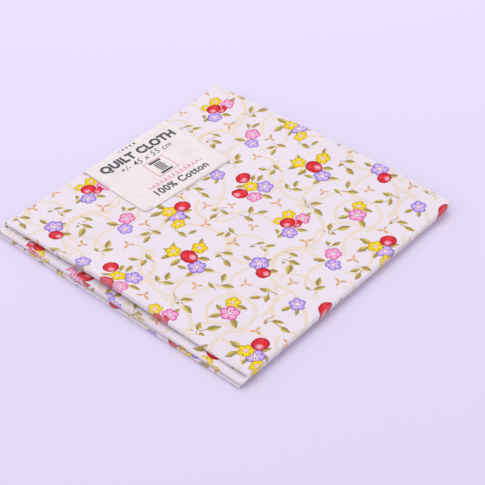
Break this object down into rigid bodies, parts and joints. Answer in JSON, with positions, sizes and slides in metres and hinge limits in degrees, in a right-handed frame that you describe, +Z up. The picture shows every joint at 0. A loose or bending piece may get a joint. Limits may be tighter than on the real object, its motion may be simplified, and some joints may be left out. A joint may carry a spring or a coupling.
{
  "type": "folded fat quarter of quilting cotton",
  "caption": "One sheet of printed quilting cotton folded into a flat square pack that opens in thirds, with a folded card label over its back edge.",
  "frame": {"origin": "middle of the pack's footprint, on the surface it lies on", "axes": "X runs along the lines of text on the label, Y points at the labelled edge, Z is up through the layers"},
  "size_m": [0.184, 0.1832, 0.0058],
  "materials": {
    "cotton": "plain-woven quilting cotton with a printed floral pattern, matte",
    "card": "uncoated thin card, matte, with flat printing"
  },
  "bodies": {
    "lower_third": {"lower_outer_ply": "cotton", "lower_tuck_ply": "cotton", "lower_inner_ply": "cotton"},
    "middle_third": {"middle_inner_ply": "cotton", "middle_tuck_ply": "cotton", "middle_outer_ply": "cotton"},
    "upper_third": {"upper_outer_ply": "cotton", "upper_tuck_ply": "cotton", "upper_inner_ply": "cotton"},
    "label": {"label_card": "card"}
  },
  "joints": [
    {"name": "middle_third_fold", "type": "hinge", "parent": "lower_third", "child": "middle_third", "pos_m": [0, 0.09187, 0.00293], "axis": [-1, 0, 0], "range_deg": [0, 180]},
    {"name": "upper_third_fold", "type": "hinge", "parent": "middle_third", "child": "upper_third", "pos_m": [0, -0.09182, 0.0036], "axis": [1, 0, 0], "range_deg": [0, 180]},
    {"name": "label_slip", "type": "slide", "parent": "upper_third", "child": "label", "axis": [1, 0, 0], "range_m": [0, 0.125]}
  ]
}
